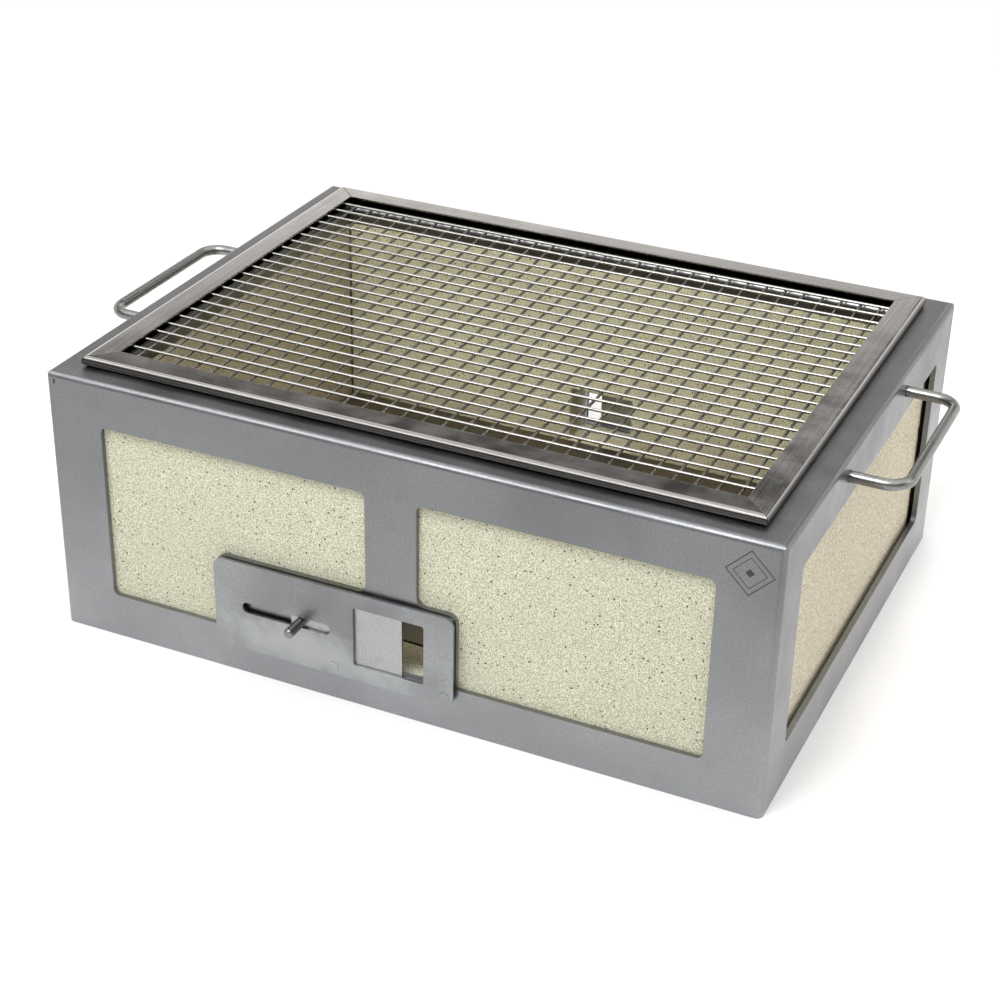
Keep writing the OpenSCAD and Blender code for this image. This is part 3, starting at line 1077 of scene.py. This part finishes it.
@dataclass
class Grill:
    """Lift-off grill: four folded rails over a sagging welded mesh."""

    nodes: dict[str, Object]
    # Lit and shaded copies of one wire steel: painted light on the long wires, painted shade on the
    # cross wires and nuggets.
    painted_lit_wires: Material
    painted_shaded_wires: Material
    half_x: float = 182.5 * MM
    half_y: float = 136.5 * MM
    wire: float = 1.6 * MM
    pitch: float = 11 * MM
    long_count: int = 23
    cross_count: int = 31
    shift_x: float = 0.5 * MM
    shift_y: float = -3 * MM
    cross_z: float = 154.05 * MM
    sag: float = 2.0 * MM
    stray: float = 0.35 * MM
    steel: Triple = (0.58, 0.566, 0.55)
    # Darker tone of the front rail: painted shade.
    painted_shade_steel: Triple = (0.36, 0.348, 0.335)
    # Height below which the rails get painted shade.
    painted_shade_below: float = 157 * MM
    rail_break: float = 0.2 * MM
    rail_fold: float = 30.0
    sunk: float = 0.9
    nugget: float = 0.56
    wire_steps: int = 48
    wire_sides: int = 10

    def build(self) -> None:
        """Builds rails, wires and weld nuggets."""
        for side, axis, tone in (
            # The front rail gets a darker copy of the rail steel: painted shade.
            ("front", Axis.ALONG_X, self.painted_shade_steel),
            ("rear", Axis.ALONG_X, self.steel),
            ("left", Axis.ALONG_Y, self.steel),
            ("right", Axis.ALONG_Y, self.steel),
        ):
            skin = StreakedSteel(f"{side}_rail_brushed", tone, axis, painted_shade_below=self.painted_shade_below).material()
            node = f"grill_{side}_rail"
            bm = clean_copy(self.nodes[node])
            round_edges(bm, self.rail_break, sharp=40.0)
            piece = to_piece(bm, f"{side}_rail_folded", skin, self.rail_fold)
            place(piece, "grill", "rail_steel", node)
        row = self._row_tree()
        long_z = self.cross_z + self.wire * self.sunk
        for node, count, half, shift, height, across in (
            ("long_wires", self.long_count, self.half_x, self.shift_y, long_z, False),
            ("cross_wires", self.cross_count, self.half_y, self.shift_x, self.cross_z, True),
        ):
            values = {
                "Wires": count,
                "Pitch": self.pitch,
                "Half length": half,
                "Shift": shift,
                "Height": height,
                "Wire diameter": self.wire,
                "Front to back": across,
                # Painted lit copy for the long wires, painted shaded copy for the cross wires.
                "Finish": self.painted_shaded_wires if across else self.painted_lit_wires,
                **self._slack(),
            }
            place(row.bake(f"{node}_welded", values), "grill", "wire_steel", node)
        self._nuggets(long_z)

    def _slack(self) -> dict[str, float]:
        """Tree inputs for how the mesh sags and strays."""
        return {
            "Sag": self.sag,
            "Half width": self.half_x,
            "Half depth": self.half_y,
            "Stray": self.stray,
        }

    @staticmethod
    def _sagged(
        tree: Tree,
        points: Socket,
        sag: Socket,
        half_x: Socket,
        half_y: Socket,
        stray: Socket,
    ) -> Socket:
        """Lowers points in the mesh's middle and lets them stray a little.

        Args:
            tree: The tree.
            points: Geometry to move.
            sag: Depth of the sag.
            half_x: Half of the frame's width.
            half_y: Half of the frame's depth.
            stray: How far a wire may stray sideways.

        Returns:
            The moved geometry.
        """
        at = tree.node("GeometryNodeInputPosition").outputs[0]
        split = tree.node("ShaderNodeSeparateXYZ", Vector=at)
        falls = []
        for axis, half in ((0, half_x), (1, half_y)):
            share = tree.calc("DIVIDE", split.outputs[axis], half)
            falls.append(tree.calc("SUBTRACT", 1.0, tree.calc("MULTIPLY", share, share)))
        fall = tree.calc("MULTIPLY", falls[0], falls[1])
        drop = tree.calc("MULTIPLY", fall, tree.calc("MULTIPLY", sag, -1.0))
        offsets = []
        for axis, fast, slow in ((1, 23.0, 7.0), (0, 29.0, 5.0)):
            spot = tree.vector(
                tree.calc("MULTIPLY", split.outputs[axis], fast),
                tree.calc("MULTIPLY", split.outputs[1 - axis], slow),
                0.31 + axis,
            )
            wave = tree.node("ShaderNodeTexNoise", Vector=spot, Scale=1.0, Detail=1.0)
            centred = tree.calc("SUBTRACT", wave.outputs[0], 0.5)
            offsets.append(tree.calc("MULTIPLY", centred, tree.calc("MULTIPLY", stray, 2.0)))
        offset = tree.vector(offsets[1], offsets[0], drop)
        return tree.node("GeometryNodeSetPosition", Geometry=points, Offset=offset).outputs[0]

    def _row_tree(self) -> Tree:
        """Tree that lays a row of wires side by side and lets them sag.

        Returns:
            The tree.
        """
        tree = Tree("wire_row")
        count = tree.given("Wires", "Int")
        names = ("Pitch", "Half length", "Shift", "Height", "Wire diameter")
        pitch, half, shift, height, wire = (tree.given(name) for name in names)
        slack = [tree.given(name) for name in self._slack()]
        across, material = tree.given("Front to back", "Bool"), tree.given("Finish", "Material")
        length = tree.calc("MULTIPLY", tree.calc("SUBTRACT", count, 1.0), pitch)
        first = tree.calc("MULTIPLY", length, -0.5)
        line = tree.node(
            "GeometryNodeMeshLine",
            {"mode": "OFFSET"},
            Count=count,
            Start_Location=tree.vector(0.0, tree.calc("ADD", first, shift), 0.0),
            Offset=tree.vector(0.0, pitch, 0.0),
        )
        straight = tree.node(
            "GeometryNodeCurvePrimitiveLine",
            Start=tree.vector(tree.calc("MULTIPLY", half, -1.0), 0.0, 0.0),
            End=tree.vector(half, 0.0, 0.0),
        )
        points = tree.node(
            "GeometryNodeResampleCurve",
            {"mode": "COUNT"},
            Curve=straight.outputs[0],
            Count=self.wire_steps,
        )
        row = tree.node(
            "GeometryNodeInstanceOnPoints",
            Points=line.outputs[0],
            Instance=points.outputs[0],
        )
        real = tree.node("GeometryNodeRealizeInstances", Geometry=row.outputs[0]).outputs[0]
        at = tree.node("GeometryNodeInputPosition").outputs[0]
        split = tree.node("ShaderNodeSeparateXYZ", Vector=at)
        swapped = tree.vector(split.outputs[1], split.outputs[0], height)
        kept = tree.vector(split.outputs[0], split.outputs[1], height)
        switch = tree.node(
            "GeometryNodeSwitch",
            {"input_type": "VECTOR"},
            Switch=across,
            True_=swapped,
            False_=kept,
        )
        turned = tree.node("GeometryNodeSetPosition", Geometry=real, Position=switch.outputs[0])
        hung = self._sagged(tree, turned.outputs[0], *slack)
        ring = tree.node(
            "GeometryNodeCurvePrimitiveCircle",
            Resolution=self.wire_sides,
            Radius=tree.calc("MULTIPLY", wire, 0.5),
        )
        thick = tree.node(
            "GeometryNodeCurveToMesh",
            Curve=hung,
            Profile_Curve=ring.outputs[0],
            Fill_Caps=True,
        )
        tree.finish(thick.outputs[0], material)
        return tree

    def _nuggets(self, long_z: float) -> None:
        """Builds the weld nuggets at the wires' crossings.

        Args:
            long_z: Height of the long wires' middles.
        """
        tree = Tree("weld_nuggets")
        size = tree.given("Nugget radius")
        slack = [tree.given(name) for name in self._slack()]
        material = tree.given("Finish", "Material")
        grid = tree.node(
            "GeometryNodeMeshGrid",
            Size_X=(self.cross_count - 1) * self.pitch,
            Size_Y=(self.long_count - 1) * self.pitch,
            Vertices_X=self.cross_count,
            Vertices_Y=self.long_count,
        )
        moved = tree.node(
            "GeometryNodeTransform",
            Geometry=grid.outputs[0],
            Translation=(self.shift_x, self.shift_y, (self.cross_z + long_z) / 2),
        )
        hung = self._sagged(tree, moved.outputs[0], *slack)
        ball = tree.node("GeometryNodeMeshIcoSphere", Radius=size, Subdivisions=2)
        spots = tree.node("GeometryNodeInstanceOnPoints", Points=hung, Instance=ball.outputs[0])
        tree.finish(spots.outputs[0], material)
        # The nuggets take the painted shaded copy of the wire steel.
        values = {"Nugget radius": self.wire * self.nugget, "Finish": self.painted_shaded_wires, **self._slack()}
        place(tree.bake("wire_weld_nuggets", values), "grill", "wire_steel")


# ---------------------------------------------------------------- studio


@dataclass(frozen=True)
class Lamp:
    """Rectangular area lamp: power in watts, spread in degrees."""

    name: str
    spot: Triple
    aim: Triple
    size: tuple[float, float]
    power: float
    spread: float = 180
    tint: Triple = (1.0, 1.0, 1.0)

    def hang(self) -> None:
        """Adds the lamp to the scene."""
        data = bpy.data.lights.new(self.name, "AREA")
        data.shape = "RECTANGLE"
        data.size, data.size_y = self.size
        data.energy = self.power
        data.spread = math.radians(self.spread)
        data.color = self.tint
        lamp = bpy.data.objects.new(self.name, data)
        lamp.location = self.spot
        aim = Vector(self.aim) - Vector(self.spot)
        lamp.rotation_euler = aim.to_track_quat("-Z", "Y").to_euler()
        bpy.context.scene.collection.objects.link(lamp)


@dataclass
class Studio:
    """Camera, lights, floor and surroundings."""

    azimuth: float = 24.206
    elevation: float = 29.246
    roll: float = 1.279
    distance: float = 1.191541
    right: float = -0.008104
    up: float = 0.043548
    lens: float = SENSOR * 2.07437
    floor_tone: Triple = (0.95, 0.95, 0.95)
    floor_half: float = 6.0
    backdrop: float = 1.3
    belt: float = 0.05
    ceiling: float = 1.42
    warm: Triple = (1.0, 0.968, 0.94)
    lamps: tuple[Lamp, ...] = (
        Lamp("pool", (-0.35, -0.95, 0.95), (0.0, -0.17, 0.0), (0.8, 0.5), 0.26, 32),
        Lamp("fill", (-0.45, -1.1, 0.95), (0.0, -0.1, 0.05), (1.2, 0.8), 0.6),
        Lamp("over", (-0.03, -0.38, 0.9), (-0.02, 0.12, 0.08), (0.5, 0.32), 0.6, 34),
        Lamp("strip", (-0.36, -0.64, 0.95), (-0.02, -0.15, 0.15), (1.0, 0.14), 1.7),
        Lamp("right", (1.2, 0.35, 0.8), (0.25, 0.0, 0.03), (0.5, 0.5), 0.64, 110, (1.0, 0.86, 0.76)),
    )

    def camera(self) -> None:
        """Sets up the camera."""
        az, el, roll = (math.radians(a) for a in (self.azimuth, self.elevation, self.roll))
        back = Vector((math.sin(az) * math.cos(el), -math.cos(az) * math.cos(el), math.sin(el)))
        level = Vector((math.cos(az), math.sin(az), 0.0))
        upright = back.cross(level)
        right = math.cos(roll) * level + math.sin(roll) * upright
        up = -math.sin(roll) * level + math.cos(roll) * upright
        data = bpy.data.cameras.new("camera")
        data.sensor_width = SENSOR
        data.lens = self.lens
        data.clip_start = 0.01
        cam = bpy.data.objects.new("camera", data)
        turn = Matrix((right, up, back)).transposed().to_4x4()
        spot = right * self.right + up * self.up + back * self.distance
        cam.matrix_world = Matrix.Translation(spot) @ turn
        bpy.context.scene.collection.objects.link(cam)
        bpy.context.scene.camera = cam

    def floor(self) -> None:
        """Lays the plain pale floor."""
        mesh = bpy.data.meshes.new("floor")
        corners = ((-1, -1), (1, -1), (1, 1), (-1, 1))
        points = [(x * self.floor_half, y * self.floor_half, 0) for x, y in corners]
        mesh.from_pydata(points, [], [(0, 1, 2, 3)])
        material = bpy.data.materials.new("floor")
        material.use_nodes = True
        shader = material.node_tree.nodes["Principled BSDF"]
        shader.inputs["Base Color"].default_value = (*self.floor_tone, 1)
        shader.inputs["Roughness"].default_value = 0.9
        shader.inputs["Specular IOR Level"].default_value = 0.1
        mesh.materials.append(material)
        linked("floor", mesh)

    def surroundings(self) -> None:
        """Light from all round: a warm backdrop low down, a dim belt above it, a white ceiling.

        The backdrop is dimmer in front than behind, and the camera itself sees plain white.
        """
        world = bpy.data.worlds.new("studio")
        world.use_nodes = True
        sky = Shading(world.node_tree, "Generated")
        y, z = sky.axis(Axis.ALONG_Y), sky.axis(Axis.ALONG_Z)
        backdrop = sky.span(z, 0.36, 0.43, self.backdrop, self.belt)
        behind = sky.span(y, -0.35, 0.35, 0.3, 1.0)
        ceiling = sky.span(z, 0.54, 0.68, 0.0, self.ceiling)
        light = sky.calc("MULTIPLY_ADD", backdrop, behind, ceiling)
        seen = sky.nodes.new("ShaderNodeLightPath").outputs["Is Camera Ray"]
        strength = sky.calc("MULTIPLY_ADD", seen, sky.calc("SUBTRACT", 1.0, light), light)
        white = sky.calc("MAXIMUM", sky.span(z, 0.4, 0.55, shape="LINEAR"), seen)
        shader = sky.nodes["Background"]
        sky.links.new(sky.blend(white, self.warm, (1.0, 1.0, 1.0)), shader.inputs["Color"])
        sky.links.new(strength, shader.inputs["Strength"])
        bpy.context.scene.world = world

    def build(self) -> None:
        """Sets up the whole studio."""
        self.camera()
        self.floor()
        self.surroundings()
        for lamp in self.lamps:
            lamp.hang()
        view = bpy.context.scene.view_settings
        view.view_transform = "Standard"
        view.look = "None"


def main() -> None:
    """Builds every sub-assembly around the frame."""
    logging.basicConfig(level=logging.INFO, format="%(message)s")
    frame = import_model()
    nodes = frame["nodes"]
    Studio().build()
    Casing(nodes).build()
    Lining(nodes).build()
    # Two dark smudges on the front cover, and one bright cloud that is a painted highlight.
    smudges_and_any_sheen = (
        Cloud(x=-0.012, z=0.05, length=0.024, height=0.024, share=0.32, tone=(0.12, 0.122, 0.128)),
        # Painted highlight: a bright cloud at the lower left of the front cover.
        Cloud(x=-0.05, z=0.027, length=0.065, height=0.022, share=0.5, tone=(0.56, 0.57, 0.58)),
        Cloud(x=0.022, z=0.024, length=0.016, height=0.016, share=0.3, tone=(0.14, 0.142, 0.148)),
    )
    plain = SheetSteel("rear_cover_satin", (0.305, 0.312, 0.322), rough=0.35, cloud=0.24, painted_shade_range=0.2)
    smudged_and_sheened = replace(plain, name="cover_satin", smudges_and_any_sheen=smudges_and_any_sheen)
    satin = SheetSteel("shutter_satin", (0.48, 0.488, 0.48), rough=0.33, cloud=0.05, painted_shade_range=0.0)
    turned = StreakedSteel("pin_drawn", (0.3, 0.3, 0.295), Axis.ALONG_Y, 0.24, 0.3, 1400)
    shutter, pin = satin.material(), turned.material()
    for side, cover in ((Side.FRONT, smudged_and_sheened), (Side.REAR, plain)):
        Damper(nodes, side, cover.material(), shutter, pin).build()
    rod = StreakedSteel("rod_drawn", (0.3, 0.3, 0.29), Axis.ALONG_Y, 0.27, 0.25, 900).material()
    handles = [Handle(hand, rod) for hand in (Hand.RIGHT, Hand.LEFT)]
    tree = handles[0].tree()
    for handle in handles:
        handle.build(tree)
    # Two copies of one wire steel: painted lit for the long wires, painted shaded for the cross wires
    # and nuggets.
    painted_lit_wires = StreakedSteel("wire_painted_lit", (0.45, 0.441, 0.424), Axis.ALONG_X, 0.24, 0.15, 1200)
    painted_shaded_wires = StreakedSteel("wire_painted_shade", (0.34, 0.325, 0.3), Axis.ALONG_Y, 0.17, 0.15, 1200)
    Grill(nodes, painted_lit_wires.material(), painted_shaded_wires.material()).build()


if __name__ == "__main__":
    main()
